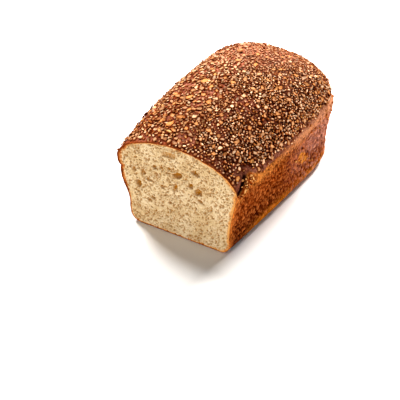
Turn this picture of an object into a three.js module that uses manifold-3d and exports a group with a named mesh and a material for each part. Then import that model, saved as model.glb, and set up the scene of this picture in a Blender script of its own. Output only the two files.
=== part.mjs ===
// A multigrain pan loaf, sliced from one end: a flared body baked in a tin, a high domed crown
// crusted with oat flakes and cracked grain, and a flat cut face with its larger crumb holes.
// X runs across the loaf, Y from the cut face to the far end, Z up. The base rests on Z = 0.
import * as THREE from 'three';
import { mergeVertices } from 'three/addons/utils/BufferGeometryUtils.js';
import Module from 'manifold-3d';

// Driving dimensions, in millimetres.
const LENGTH = 196;             // cut face to the far end, at the dome
const BASE_WIDTH = 103;         // across the body just above its rounded bottom edges
const CROWN_WIDTH = 124;        // across the widest part of the dome
const CROWN_HEIGHT = 113.5;     // highest place of the dome
const LIP_HEIGHT = 64;          // widest part of the dome at the cut
const LIP_CLIMB = 5;            // how much higher that is further back
const LIP_CLIMB_RUN = 30;       // length over which it climbs
const EDGE_RADIUS = 10;         // rounded bottom edge
const BASE_SHIFT = 3.5;         // the base sits a little to the right of the dome
const CAP = 62;                 // length of the rounded far end
const DOME_OVERREACH = 2;       // how far the dome reaches over the wall at the far end
const END_FLARE = 3;            // how far the far end leans out from base to head

// The right side was baked against the tin up to a firm shoulder; on the left the dome hangs over.
const RIGHT = { headDrop: 3, overhang: 0.6, crease: 3.2, bulge: 0 };
const LEFT = { headDrop: 11, overhang: 2.9, crease: 0.8, bulge: 1 };
const BULGE_FROM = 0.25;        // a wall that bulges swells out between these shares of its height
const BULGE_TO = 0.85;
const HEAD_ROUND = 1;           // from the head of the wall up to the bottom of the crease
const CREASE_RUN = 26;          // length behind the cut over which the torn crease fades
const CREASE_KEPT = 0.15;       // share of the crease that stays further back

// Form of the sections and of the plan.
const WALL_CURVE = 1.6;         // above 1 the wall flares mostly towards its head
const DOME_CURVE = 1.08;        // 1 is an ellipse, more is a steeper crown
const WALL_PLAN = 0.58;         // the tin's far corners: smaller is squarer
const DOME_PLAN = 0.76;         // the dome's far corners are rounder
const CROWN_PEAK = 110;         // distance of the highest place behind the cut
const CROWN_ARCH = 17;          // fall of the crown line half a length away from there
const MID_SWELL = 0.045;        // extra width at the peak, as a share

// The flakes of the topping that are large enough to stand out.
const FLAKE_COUNT = 200;
const FLAKE_LENGTH = [4.4, 6.6];
const FLAKE_ASPECT = [0.62, 0.82];
const FLAKE_THICKNESS = 2;
const FLAKE_LIFT = 0.25;        // how far a flake's middle stands above the crust
const FLAKE_TAPER = 0.72;       // top edge of a flake as a share of its lower edge
const FLAKE_SIDES = 6;
const FLAKE_TILT = 14;          // most that a flake leans, in degrees
const CUT_MARGIN = 6;           // bare rim of the dome along the cut
const LIP_MARGIN = 0.08;        // bare share of the dome above its lip
const CROWN_MARGIN = 0.985;     // flakes stop just short of the crown line, where the sections meet
const SPREAD_TRIES = 12;        // draws from which each flake's place is the roomiest
const SPREAD_SEED = 20;
const DRAW_FACTOR = 1664525;    // factor and step of the repeatable draws
const DRAW_STEP = 1013904223;

// The crumb holes that are large enough to see: middle on the cut face, then width, height and depth.
const HOLES = [
  { x: 1, z: 64, wide: 11, high: 6, deep: 4 },
  { x: 19, z: 72.5, wide: 10, high: 4.5, deep: 3.5 },
  { x: 14.5, z: 58, wide: 5.5, high: 5.5, deep: 3.5 },
  { x: 22, z: 54.5, wide: 7.5, high: 6.5, deep: 4 },
  { x: -39, z: 42, wide: 6, high: 7, deep: 4 },
  { x: -34, z: 55, wide: 6, high: 5.5, deep: 2.5 },
  { x: -22.5, z: 64.5, wide: 4.5, high: 4.5, deep: 2.5 },
  { x: -20.5, z: 58, wide: 4, high: 4, deep: 2.5 },
  { x: -1, z: 51, wide: 5, high: 7.5, deep: 3 },
  { x: -43.5, z: 55, wide: 4, high: 5, deep: 2.5 },
  { x: -7, z: 82, wide: 14, high: 6.5, deep: 2 },
  { x: -14.5, z: 46.5, wide: 4.5, high: 4, deep: 2 },
  { x: -24, z: 31.5, wide: 5, high: 3.5, deep: 2 },
  { x: -28.5, z: 28, wide: 5, high: 3.5, deep: 2 },
  { x: 24, z: 45.5, wide: 6, high: 3.5, deep: 2 },
];
const HOLE_SIDES = 8;
const HOLE_RINGS = 5;
const HOLE_OFFSET = 0.15;       // share of its depth by which a hole's middle lies before the face

// Steps of the mesh.
const SIDE_STEPS = 10;
const SIDE_CROWDING = 1.35;     // above 1 the sections lie closer together near the cut
const FAR_STEPS = 24;
const EDGE_STEPS = 3;
const WALL_STEPS = 5;
const LIP_STEPS = 2;
const DOME_STEPS = 12;
const SMALLEST_AREA = 1e-6;     // triangles that close up at the spine's end are dropped
const MERGE_DISTANCE = 1e-4;
const TANGENT_STEP = 1e-4;      // share of the run over which the crust's slope is measured

const CUT_Y = -LENGTH / 2;
const SPINE_END_Y = LENGTH / 2 - DOME_OVERREACH - CAP;
const PEAK_Y = CUT_Y + CROWN_PEAK;
const SIDE_RUN = SPINE_END_Y - CUT_Y;
const FAR_RUN = Math.PI * (CAP + CROWN_WIDTH / 2) / 2;
const WHOLE_RUN = 2 * SIDE_RUN + FAR_RUN;
const CRUST_COLOUR = 0x9a6136;

const { lerp, smoothstep } = THREE.MathUtils;
const signedPower = (value, power) => Math.sign(value) * Math.abs(value) ** power;
const fade = (distance, run) => Math.exp(-((distance / run) ** 2));

// Distance from the crown's peak, with 1 at half the loaf's length.
const fromPeak = (y) => (y - PEAK_Y) / (LENGTH / 2);
const crownHeight = (y) => CROWN_HEIGHT - CROWN_ARCH * fromPeak(y) ** 2;
const swell = (y) => 1 + MID_SWELL * (1 - fromPeak(y) ** 2);
const lipHeight = (y) => LIP_HEIGHT + LIP_CLIMB * (1 - fade(y - CUT_Y, LIP_CLIMB_RUN));

// A place on the U that runs from the cut along the right side, round the far end and back along the left.
function station(along) {
  const run = along * WHOLE_RUN;
  if (run <= SIDE_RUN) return { y: CUT_Y + run, turn: 0 };
  if (run < SIDE_RUN + FAR_RUN) return { y: SPINE_END_Y, turn: Math.PI * (run - SIDE_RUN) / FAR_RUN };
  return { y: SPINE_END_Y - (run - SIDE_RUN - FAR_RUN), turn: Math.PI };
}

// A measure that differs between the two sides, at a station between them.
function between(name, turn) {
  return lerp(RIGHT[name], LEFT[name], (1 - Math.cos(turn)) / 2);
}

// A point of a section, carried out from the spine in the station's direction.
function carry({ y, turn }, { half, reach, z, plan }) {
  const shift = BASE_SHIFT * Math.max(0, 1 - z / LIP_HEIGHT);
  const across = signedPower(Math.cos(turn), plan) * half * swell(y);
  const outward = turn > 0 && turn < Math.PI ? Math.sin(turn) ** plan * reach : 0;
  return new THREE.Vector3(shift + across, y + outward, z);
}

// The dome from its lip, at up = 0, to the crown line, at up = 1.
function domeSection(y, up) {
  const angle = up * Math.PI / 2;
  const share = up < 1 ? Math.cos(angle) ** DOME_CURVE : 0;
  return {
    half: share * CROWN_WIDTH / 2,
    reach: share * (CAP + DOME_OVERREACH),
    z: lerp(lipHeight(y), crownHeight(y), Math.sin(angle) ** DOME_CURVE),
    plan: DOME_PLAN,
  };
}

// Half a cross-section, from the middle of the base out, up the wall, in at the crease and over the dome.
function halfSection({ y, turn }) {
  const lip = lipHeight(y);
  const head = lip - between('headDrop', turn);
  const headHalf = CROWN_WIDTH / 2 - between('overhang', turn);
  const crease = between('crease', turn) * lerp(CREASE_KEPT, 1, fade(y - CUT_Y, CREASE_RUN));
  const points = [{ half: 0, reach: 0, z: 0, plan: WALL_PLAN }];
  for (let i = 0; i <= EDGE_STEPS; i++) {
    const angle = i / EDGE_STEPS * Math.PI / 2;
    const inset = EDGE_RADIUS * (1 - Math.sin(angle));
    const z = EDGE_RADIUS * (1 - Math.cos(angle));
    points.push({ half: BASE_WIDTH / 2 - inset, reach: CAP - END_FLARE - inset, z, plan: WALL_PLAN });
  }
  for (let i = 1; i <= WALL_STEPS; i++) {
    const t = i / WALL_STEPS;
    const flare = lerp(t ** WALL_CURVE, smoothstep(t, BULGE_FROM, BULGE_TO), between('bulge', turn));
    points.push({
      half: lerp(BASE_WIDTH / 2, headHalf, flare),
      reach: CAP - END_FLARE * (1 - t),
      z: lerp(EDGE_RADIUS, head, t),
      plan: WALL_PLAN,
    });
  }
  for (let i = 0; i < LIP_STEPS; i++) {
    const angle = i / LIP_STEPS * Math.PI / 2;
    points.push({
      half: lerp(headHalf - crease, CROWN_WIDTH / 2, Math.sin(angle)),
      reach: lerp(CAP - crease, CAP + DOME_OVERREACH, Math.sin(angle)),
      z: lerp(lip, head + HEAD_ROUND, Math.cos(angle)),
      plan: lerp(WALL_PLAN, DOME_PLAN, (i + 1) / (LIP_STEPS + 1)),
    });
  }
  for (let i = 0; i <= DOME_STEPS; i++) points.push(domeSection(y, i / DOME_STEPS));
  return points;
}

// The stations at which the body's mesh has a section.
function stationList() {
  const shares = Array.from({ length: SIDE_STEPS }, (_, i) => (i / SIDE_STEPS) ** SIDE_CROWDING);
  const side = shares.map((share) => CUT_Y + SIDE_RUN * share);
  const right = side.map((y) => ({ y, turn: 0 }));
  const left = side.map((y) => ({ y, turn: Math.PI })).reverse();
  const turns = Array.from({ length: FAR_STEPS + 1 }, (_, i) => Math.PI * i / FAR_STEPS);
  const far = turns.map((turn) => ({ y: SPINE_END_Y, turn }));
  return [...right, ...far, ...left];
}

// The body without its topping: sections joined round the U, closed by the flat cut face.
function bodyGeometry() {
  const stations = stationList();
  const sections = stations.map((place) => halfSection(place).map((point) => carry(place, point)));
  const perSection = sections[0].length;
  const triangles = [];
  const addTriangle = (a, b, c) => {
    const area = new THREE.Triangle(a, b, c).getArea();
    if (area > SMALLEST_AREA) triangles.push(a, b, c);
  };
  for (let s = 0; s + 1 < sections.length; s++) {
    for (let p = 0; p + 1 < perSection; p++) {
      const [a, b] = [sections[s][p], sections[s + 1][p]];
      const [c, d] = [sections[s + 1][p + 1], sections[s][p + 1]];
      addTriangle(a, b, c);
      addTriangle(a, c, d);
    }
  }
  const rightEdge = sections[0];
  const leftEdge = sections[sections.length - 1].slice(1, -1).reverse();
  const rim = [...rightEdge, ...leftEdge];
  const outline = rim.map((point) => new THREE.Vector2(point.x, point.z));
  for (const corners of THREE.ShapeUtils.triangulateShape(outline, [])) {
    triangles.push(...corners.map((corner) => rim[corner]));
  }
  return new THREE.BufferGeometry().setFromPoints(triangles);
}

// Repeatable draws between 0 and 1.
let drawState = SPREAD_SEED;
function draw() {
  drawState = (Math.imul(drawState, DRAW_FACTOR) + DRAW_STEP) >>> 0;
  return drawState / 2 ** 32;
}

const crownPoint = (along, up) => {
  const place = station(along);
  return carry(place, domeSection(place.y, up));
};

// The crust's two tangents at a place on the dome, per unit of along and of up.
function crownTangents(along, up) {
  const step = TANGENT_STEP;
  const a = crownPoint(along + step, up).sub(crownPoint(along - step, up)).divideScalar(2 * step);
  const u = crownPoint(along, up + step).sub(crownPoint(along, up - step)).divideScalar(2 * step);
  return [a, u];
}

// One place on the dome, drawn so that every patch of crust is as likely as its area.
function drawPlace() {
  const widestCell = WHOLE_RUN * CROWN_WIDTH;
  for (;;) {
    const [along, up, keep] = [draw(), lerp(LIP_MARGIN, CROWN_MARGIN, draw()), draw()];
    const [a, u] = crownTangents(along, up);
    const point = crownPoint(along, up);
    const cell = a.clone().cross(u).length();
    if (keep * widestCell < cell && point.y > CUT_Y + CUT_MARGIN) return { point, a, u };
  }
}

// Places spread evenly over the dome: each is the one of several draws with the most room round it.
function spreadPlaces(count) {
  const places = [];
  const roomAt = ({ point }) => Math.min(...places.map((other) => other.point.distanceTo(point)));
  while (places.length < count) {
    const draws = Array.from({ length: SPREAD_TRIES }, drawPlace);
    const rooms = draws.map(roomAt);
    places.push(draws[rooms.indexOf(Math.max(...rooms))]);
  }
  return places;
}

// One flat, slightly tapered flake lying on the crust, turned and tilted at random.
function flakeGeometry({ point, a, u }) {
  const length = lerp(...FLAKE_LENGTH, draw());
  const width = length * lerp(...FLAKE_ASPECT, draw());
  const spin = draw() * 2 * Math.PI;
  const tilt = THREE.MathUtils.degToRad(FLAKE_TILT * draw());
  const lean = draw() * 2 * Math.PI;
  const flake = new THREE.CylinderGeometry(FLAKE_TAPER, 1, 1, FLAKE_SIDES).rotateX(Math.PI / 2);
  flake.scale(length / 2, width / 2, FLAKE_THICKNESS).rotateZ(spin);
  flake.rotateZ(-lean).rotateX(tilt).rotateZ(lean);
  const normal = a.clone().cross(u).normalize();
  const east = a.clone().normalize();
  const north = normal.clone().cross(east);
  flake.applyMatrix4(new THREE.Matrix4().makeBasis(east, north, normal));
  const middle = point.clone().addScaledVector(normal, FLAKE_LIFT);
  return flake.translate(middle.x, middle.y, middle.z);
}

// One crumb hole: a flattened ball set into the cut face.
function holeGeometry({ x, z, wide, high, deep }) {
  const hole = new THREE.SphereGeometry(1, HOLE_SIDES, HOLE_RINGS);
  return hole.scale(wide / 2, deep, high / 2).translate(x, CUT_Y - HOLE_OFFSET * deep, z);
}

const wasm = await Module();
wasm.setup();

function toSolid(geometry) {
  const bare = geometry.clone();
  bare.deleteAttribute('normal');
  bare.deleteAttribute('uv');
  const merged = mergeVertices(bare, MERGE_DISTANCE);
  const vertProperties = new Float32Array(merged.attributes.position.array);
  const triVerts = new Uint32Array(merged.index.array);
  return new wasm.Manifold(new wasm.Mesh({ numProp: 3, vertProperties, triVerts }));
}

function toGeometry(solid) {
  const { vertProperties, triVerts } = solid.getMesh();
  const geometry = new THREE.BufferGeometry();
  geometry.setAttribute('position', new THREE.BufferAttribute(vertProperties, 3));
  geometry.setIndex(new THREE.BufferAttribute(triVerts, 1));
  return geometry;
}

let loafSolid = toSolid(bodyGeometry());
for (const hole of HOLES) loafSolid = loafSolid.subtract(toSolid(holeGeometry(hole)));
for (const place of spreadPlaces(FLAKE_COUNT)) loafSolid = loafSolid.add(toSolid(flakeGeometry(place)));

const crust = new THREE.MeshStandardMaterial({ color: CRUST_COLOUR, roughness: 0.75, metalness: 0 });
const loaf = new THREE.Mesh(toGeometry(loafSolid), crust);
loaf.name = 'loaf';

const part = new THREE.Group();
part.add(loaf);

export default part;
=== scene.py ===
"""A multigrain pan loaf, cut at one end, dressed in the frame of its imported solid.

The body repeats the solid's form as a rough crust round a porous crumb. Oat flakes, cracked grain
and bran lie on its dome as joined meshes, one piece for each kind. Lengths are in millimetres
until a mesh is made, in the part's own frame: X across, Y from the cut to the far end, Z up.
A pair of limits gives the two ends of a gradual change, and a line is a height and a width.
"""
import math
from itertools import product
import bpy
import numpy as np
from mathutils import Matrix, Vector, geometry, kdtree, noise


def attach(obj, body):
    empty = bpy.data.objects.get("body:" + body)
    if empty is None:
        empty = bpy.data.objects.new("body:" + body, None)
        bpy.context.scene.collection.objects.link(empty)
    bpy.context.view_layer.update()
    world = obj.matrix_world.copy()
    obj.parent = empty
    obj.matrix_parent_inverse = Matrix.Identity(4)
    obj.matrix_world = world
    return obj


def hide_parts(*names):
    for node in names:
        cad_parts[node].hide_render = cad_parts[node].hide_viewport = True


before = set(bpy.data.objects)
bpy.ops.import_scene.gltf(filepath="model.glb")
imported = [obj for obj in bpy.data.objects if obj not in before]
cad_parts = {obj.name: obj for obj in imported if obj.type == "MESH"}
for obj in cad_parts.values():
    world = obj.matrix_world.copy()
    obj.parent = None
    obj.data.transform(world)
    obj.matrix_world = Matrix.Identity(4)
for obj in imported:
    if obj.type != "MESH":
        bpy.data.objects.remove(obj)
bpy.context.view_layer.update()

MM = 0.001
SEED = 7
TINY = 1e-12
OCTAVE_FALL = 1.0  # how the octaves of random patterns shrink in height and in size
OCTAVE_RATIO = 2.0

# Form of the loaf: the solid's own dimensions, under the names that its source explains.
LENGTH = 196.0
BASE_WIDTH = 103.0
CROWN_WIDTH = 124.0
CROWN_HEIGHT = 113.5
LIP_HEIGHT = 64.0
LIP_CLIMB = 5.0
LIP_CLIMB_RUN = 30.0
EDGE_RADIUS = 10.0
BASE_SHIFT = 3.5
CAP = 62.0
DOME_OVERREACH = 2.0
END_FLARE = 3.0
RIGHT = {"head_drop": 3.0, "overhang": 0.6, "crease": 3.2, "bulge": 0.0}
LEFT = {"head_drop": 11.0, "overhang": 2.9, "crease": 0.8, "bulge": 1.0}
BULGE_FROM = 0.25
BULGE_TO = 0.85
HEAD_ROUND = 1.0
CREASE_RUN = 26.0
CREASE_KEPT = 0.15
WALL_CURVE = 1.6
DOME_CURVE = 1.08
WALL_PLAN = 0.58
DOME_PLAN = 0.76
PLAN_LEAD = 0.5  # how far from the wall's plan to the dome's the lip begins, in radians of its bend
CROWN_PEAK = 110.0
CROWN_ARCH = 17.0
MID_SWELL = 0.045
CUT_Y = -LENGTH / 2
SPINE_END_Y = LENGTH / 2 - DOME_OVERREACH - CAP
PEAK_Y = CUT_Y + CROWN_PEAK
SIDE_RUN = SPINE_END_Y - CUT_Y
FAR_RUN = math.pi * (CAP + CROWN_WIDTH / 2) / 2
WHOLE_RUN = 2 * SIDE_RUN + FAR_RUN

# The solid's own flakes, at the same places.
FLAKE_COUNT = 200
FLAKE_LENGTH = (4.4, 6.6)
FLAKE_ASPECT = (0.62, 0.82)
FLAKE_LIFT = 0.25
FLAKE_TILT = 14.0
CUT_MARGIN = 6.0
LIP_MARGIN = 0.08
CROWN_MARGIN = 0.985
SPREAD_TRIES = 12
SPREAD_SEED = 20
DRAW_FACTOR = 1664525
DRAW_STEP = 1013904223
DRAW_SPAN = 2 ** 32
TANGENT_STEP = 1e-4

# Stretches of a section, numbered from the middle of the base to the crown line, and their steps.
BASE, EDGE, WALL, LIP, DOME = range(5)
BASE_STEPS = 3
EDGE_STEPS = 8
WALL_STEPS = 62
LIP_STEPS = 6
DOME_STEPS = 72
SIDE_STEPS = 190
FAR_STEPS = 250
FAR_EVENNESS = 0.66  # plan power for which the far end's sections are evenly spaced


def lerp(a, b, t):
    return a + (b - a) * t


def smoothstep(first, last, value):
    """From 0 at the first limit to 1 at the last, which may be the lower one."""
    t = np.clip((value - first) / (last - first), 0, 1)
    return t * t * (3 - 2 * t)


def fade(distance, run):
    """1 at no distance, and nearly 0 at twice the run."""
    return np.exp(-(distance / run) ** 2)


def on_line(height, line):
    """1 along a line, and less above and below it."""
    return fade(height - line[0], line[1])


def from_peak(y):
    return (y - PEAK_Y) / (LENGTH / 2)


def crown_height(y):
    return CROWN_HEIGHT - CROWN_ARCH * from_peak(y) ** 2


def swell(y):
    return 1 + MID_SWELL * (1 - from_peak(y) ** 2)


def lip_height(y):
    return LIP_HEIGHT + LIP_CLIMB * (1 - fade(y - CUT_Y, LIP_CLIMB_RUN))


def between(name, turn):
    """A measure that differs between the two sides, at a station between them."""
    return lerp(RIGHT[name], LEFT[name], (1 - np.cos(turn)) / 2)


def carry(y, turn, half, reach, z, plan):
    """Points of a section, carried out from the spine in the station's direction."""
    shift = BASE_SHIFT * np.maximum(0, 1 - z / LIP_HEIGHT)
    across = np.sign(np.cos(turn)) * np.abs(np.cos(turn)) ** plan * half * swell(y)
    outward = np.abs(np.sin(turn)) ** plan * reach
    return np.stack(np.broadcast_arrays(shift + across, y + outward, z), axis=-1)


def dome_section(y, up):
    """Half width, reach and height of the dome, from its lip at up = 0 to the crown line at up = 1."""
    angle = up * math.pi / 2
    share = np.maximum(0, np.cos(angle)) ** DOME_CURVE
    z = lerp(lip_height(y), crown_height(y), np.sin(angle) ** DOME_CURVE)
    return share * CROWN_WIDTH / 2, share * (CAP + DOME_OVERREACH), z


def section_points(y, turn):
    """Rows of half sections, one for each station: base, edge, wall, lip and dome."""
    lip = lip_height(y)
    head = lip - between("head_drop", turn)
    head_half = CROWN_WIDTH / 2 - between("overhang", turn)
    crease = between("crease", turn) * lerp(CREASE_KEPT, 1, fade(y - CUT_Y, CREASE_RUN))
    flat_half = BASE_WIDTH / 2 - EDGE_RADIUS
    flat_reach = CAP - END_FLARE - EDGE_RADIUS
    out = np.linspace(0, 1, BASE_STEPS + 1)[:-1]
    base = carry(y, turn, flat_half * out, flat_reach * out, 0 * out, WALL_PLAN)
    angle = np.linspace(0, math.pi / 2, EDGE_STEPS + 1)[:-1]
    inset = EDGE_RADIUS * (1 - np.sin(angle))
    edge_z = EDGE_RADIUS * (1 - np.cos(angle))
    edge = carry(y, turn, BASE_WIDTH / 2 - inset, CAP - END_FLARE - inset, edge_z, WALL_PLAN)
    t = np.linspace(0, 1, WALL_STEPS + 1)
    flare = lerp(t ** WALL_CURVE, smoothstep(BULGE_FROM, BULGE_TO, t), between("bulge", turn))
    wall_half = lerp(BASE_WIDTH / 2, head_half, flare)
    wall = carry(y, turn, wall_half, CAP - END_FLARE * (1 - t), lerp(EDGE_RADIUS, head, t), WALL_PLAN)
    bend = np.linspace(0, math.pi / 2, LIP_STEPS + 1)[:-1]
    lip_half = lerp(head_half - crease, CROWN_WIDTH / 2, np.sin(bend))
    lip_reach = lerp(CAP - crease, CAP + DOME_OVERREACH, np.sin(bend))
    lip_plan = lerp(WALL_PLAN, DOME_PLAN, (bend + PLAN_LEAD) / (math.pi / 2 + PLAN_LEAD))
    lips = carry(y, turn, lip_half, lip_reach, lerp(lip, head + HEAD_ROUND, np.cos(bend)), lip_plan)
    up = np.linspace(0, 1, DOME_STEPS + 1)
    dome = carry(y, turn, *dome_section(y, up), DOME_PLAN)
    return np.concatenate([base, edge, wall, lips, dome], axis=1)


def section_places():
    """The place of each of a section's points along it: its stretch, and its share of that."""
    return np.concatenate([
        BASE + np.arange(BASE_STEPS) / BASE_STEPS,
        EDGE + np.arange(EDGE_STEPS) / EDGE_STEPS,
        WALL + np.arange(WALL_STEPS + 1) / WALL_STEPS,
        LIP + (1 + np.arange(LIP_STEPS)) / (LIP_STEPS + 1),
        DOME + np.arange(DOME_STEPS + 1) / DOME_STEPS,
    ])


def stations():
    """Spine place and turn of every section, from the cut along the right side, round and back."""
    side = np.linspace(CUT_Y, SPINE_END_Y, SIDE_STEPS + 1)[:-1]
    plan_angle = np.linspace(0, math.pi / 2, FAR_STEPS // 2 + 1)[:-1]
    quarter = np.arctan(np.tan(plan_angle) ** (1 / FAR_EVENNESS))
    far = np.concatenate([quarter, [math.pi / 2], math.pi - quarter[::-1]])
    y = np.concatenate([side, np.full(len(far), SPINE_END_Y), side[::-1]])
    turn = np.concatenate([0 * side, far, 0 * side + math.pi])
    return y[:, None], turn[:, None]


def field(points, size, shift=0.0, octaves=2):
    """Smooth random values from about -1 to 1, in lumps of a size, or one for each axis.

    Every use has its own shift, so that no two patterns agree.
    """
    scaled = (points / np.asarray(size) + shift).tolist()
    return np.array([noise.fractal(place, OCTAVE_FALL, OCTAVE_RATIO, octaves) for place in scaled])


def hard_field(points, size, shift, hardness=2.5):
    """Random values as from field, pushed towards -1 and 1."""
    return np.tanh(hardness * field(points, size, shift))


def lumps(points, lump, shift=0.0):
    """Random rises and falls, given by their height and their size."""
    return lump[0] * field(points, lump[1], shift)


def unit(vectors):
    return vectors / np.maximum(np.linalg.norm(vectors, axis=-1, keepdims=True), TINY)


def along_surface(vectors, normals):
    """Directions of unit length, with what stands off the surface taken out."""
    return unit(vectors - (vectors * normals).sum(axis=-1, keepdims=True) * normals)


def axes_of(east, normal):
    return np.stack([east, np.cross(normal, east), normal], axis=-1)


def vertex_normals(points, triangles):
    a, b, c = (points[triangles[:, i]] for i in range(3))
    facing = np.cross(b - a, c - a)
    total = np.zeros_like(points)
    for corner in range(3):
        np.add.at(total, triangles[:, corner], facing)
    return unit(total)


def linked(name, data):
    """A new object in the scene."""
    item = bpy.data.objects.new(name, data)
    bpy.context.scene.collection.objects.link(item)
    return item


def mesh_object(name, points, triangles, smooth):
    """A mesh from arrays: points in millimetres, triangles of their numbers, and which are smooth."""
    mesh = bpy.data.meshes.new(name)
    mesh.vertices.add(len(points))
    mesh.vertices.foreach_set("co", (points * MM).astype(np.float32).ravel())
    mesh.loops.add(3 * len(triangles))
    mesh.loops.foreach_set("vertex_index", triangles.astype(np.int32).ravel())
    mesh.polygons.add(len(triangles))
    mesh.polygons.foreach_set("loop_start", np.arange(0, 3 * len(triangles), 3, dtype=np.int32))
    mesh.polygons.foreach_set("use_smooth", np.array(np.broadcast_to(smooth, len(triangles))))
    mesh.update(calc_edges=True)
    mesh.validate()
    return linked(name, mesh)


def colour(red, green, blue):
    """A colour given as on a screen, 0 to 255, as linear light."""
    level = np.array([red, green, blue]) / 255
    return np.where(level <= 0.04045, level / 12.92, ((level + 0.055) / 1.055) ** 2.4)


def blend(base, other, share):
    """Rows of colours moved towards another colour by a share for each row."""
    return base + (other - base) * np.clip(share, 0, 1)[:, None]


def coat(base, coating, where, pattern=0):
    """Rows of colours under a coating: its colour, its mean share and how far a pattern varies that."""
    tone, mean, swing = coating
    return blend(base, tone, where * (mean + swing * pattern))


def paint(piece, tints):
    """Stores a colour for each vertex, which the piece's material reads."""
    layer = piece.data.color_attributes.new("tint", "FLOAT_COLOR", "POINT")
    rows = np.concatenate([tints, np.ones((len(tints), 1))], axis=1)
    layer.data.foreach_set("color", rows.astype(np.float32).ravel())


# Crust

CREASE_ROUNDING = 8  # passes that round the wall's head and the crease, on the right
ROUNDED_BELOW = 4  # steps of the wall and of the dome that they take in
ROUNDED_ABOVE = 8
DOME_START = (-1.5, 2.5)  # heights above the lip over which the wall turns to dome
WALL_START = (EDGE + 0.45, WALL + 0.1)
CROWN_LUMP = (0.7, 13.0)  # height and size of the dome's broad lumps
CROWN_GRIT = (0.3, 2.6)
WALL_LUMP = (0.5, 8.0)
WALL_GRAIN = 0.6  # height and size of the wall's fine upright bumps
WALL_GRAIN_SIZE = (1.9, 1.9, 2.7)
RIM_RELIEF = 0.4  # share of the wall's relief that is left at the cut
RIM_RELIEF_RUN = 5.0
SHOULDER_CLIMB = 9.0  # beside the cut the right wall's shoulder climbs into the dome
SHOULDER_MIDDLE = 20.0  # distance of its highest place behind the cut
SHOULDER_RUN = 11.5
VALLEY_LINE = (0.9, 2.4)  # a crease, sunk and dark with painted shade, runs from the cut up behind that shoulder
VALLEY_END = 23.0
VALLEY_FADE = 0.6  # share of its length from which it fades
VALLEY_START = 8.0  # distance behind the cut at which it has its depth
VALLEY_DEPTH = 3.0
BLISTER = (20.0, 35.0)  # a golden oval blister on the right wall: along and up
BLISTER_RADIUS = (9.0, 5.8)
BLISTER_SLOPE = 0.6  # it slopes down towards the far end
BLISTER_RISE = 0.8
SHADED_SIDE = (-10, 40)  # across, from the paler left of the dome to its right, dark with painted shade
SHADED_FROM = 10  # behind this place those limits move to the right, by this slope
SHADED_SLOPE = 0.35
# Painted shade low on the left and at the far end of the dome: limits along and across.
SHADE_FAR = (80, 97)
SHADE_LEFT = (-54, -66)
RECESS_DEPTH = 9.0  # the crust holds the crumb in a recess behind the cut
RECESS_SCALE = 0.9


def crust_mesh():
    """Points and triangles of the crust's skin, each point's place along its section, and the cut's rim."""
    y, turn = stations()
    grid = section_points(y, turn)
    head = BASE_STEPS + EDGE_STEPS + WALL_STEPS
    first = head - ROUNDED_BELOW
    last = head + LIP_STEPS + ROUNDED_ABOVE
    right = (1 + np.cos(turn))[:, :, None] / 2
    for _ in range(CREASE_ROUNDING):
        middle = grid[:, first:last]
        rounded = (grid[:, first - 1:last - 1] + 2 * middle + grid[:, first + 1:last + 1]) / 4
        grid[:, first:last] = lerp(middle, rounded, right)
    count, along = grid.shape[:2]
    spine_count = SIDE_STEPS + 1
    spine = np.minimum(np.minimum(np.arange(count), np.arange(count)[::-1]), SIDE_STEPS)
    index = np.empty((count, along), int)
    index[:, 0] = spine
    index[:, -1] = spine_count + spine
    index[:, 1:-1] = 2 * spine_count + np.arange(count * (along - 2)).reshape(count, along - 2)
    points = np.empty((index.max() + 1, 3))
    place = np.empty(len(points))
    points[index] = grid
    place[index] = section_places()[None, :]
    a, b = index[:-1, :-1], index[1:, :-1]
    c, d = index[1:, 1:], index[:-1, 1:]
    turned = np.add.outer(np.arange(count - 1), np.arange(along - 1))[:, :, None] % 2 == 1
    lower = np.where(turned, np.stack([a, b, d], axis=-1), np.stack([a, b, c], axis=-1))
    upper = np.where(turned, np.stack([b, c, d], axis=-1), np.stack([a, c, d], axis=-1))
    triangles = np.concatenate([lower.reshape(-1, 3), upper.reshape(-1, 3)])
    whole = (triangles[:, 0] != triangles[:, 1]) & (triangles[:, 1] != triangles[:, 2])
    whole &= triangles[:, 2] != triangles[:, 0]
    rim = np.concatenate([index[0], index[-1, -2:0:-1]])
    return points, triangles[whole], place, rim


def above_lip(points):
    """Height above the line where the dome's crust begins: the lip, or the shoulder beside the cut."""
    x, y, z = points.T
    climb = SHOULDER_CLIMB * fade(y - CUT_Y - SHOULDER_MIDDLE, SHOULDER_RUN)
    return z - lip_height(y) - climb * (x > 0)


def behind_shoulder(points):
    """1 along the crease behind the shoulder, and 0 away from it along the loaf."""
    x, y, _ = points.T
    return (x > 0) * (1 - smoothstep(VALLEY_FADE * VALLEY_END, VALLEY_END, y - CUT_Y))


def shaded_side(points):
    """1 on the right of the dome, where painted shade makes the crust darkest, and 0 on the left and at the
    far end.
    """
    x, y, _ = points.T
    return smoothstep(*SHADED_SIDE, x - SHADED_SLOPE * np.maximum(0, y - SHADED_FROM))


def shade_far_and_left(points):
    """1 low on the left and at the far end of the dome, where painted shade darkens it, and 0 elsewhere."""
    x, y, _ = points.T
    return np.maximum(smoothstep(*SHADE_FAR, y), smoothstep(*SHADE_LEFT, x))


def in_valley(points):
    """How far a point lies in the crease behind the shoulder, which is sunk and painted with shade."""
    return on_line(above_lip(points), VALLEY_LINE) * behind_shoulder(points)


def in_blister(points):
    """Distance from the blister's middle on the right wall, with 1 at its edge."""
    x, y, z = points.T
    along = y - BLISTER[0]
    up = z - BLISTER[1] + BLISTER_SLOPE * along
    reach = np.hypot(along / BLISTER_RADIUS[0], up / BLISTER_RADIUS[1])
    return np.where(x > 0, reach, np.inf)


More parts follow.
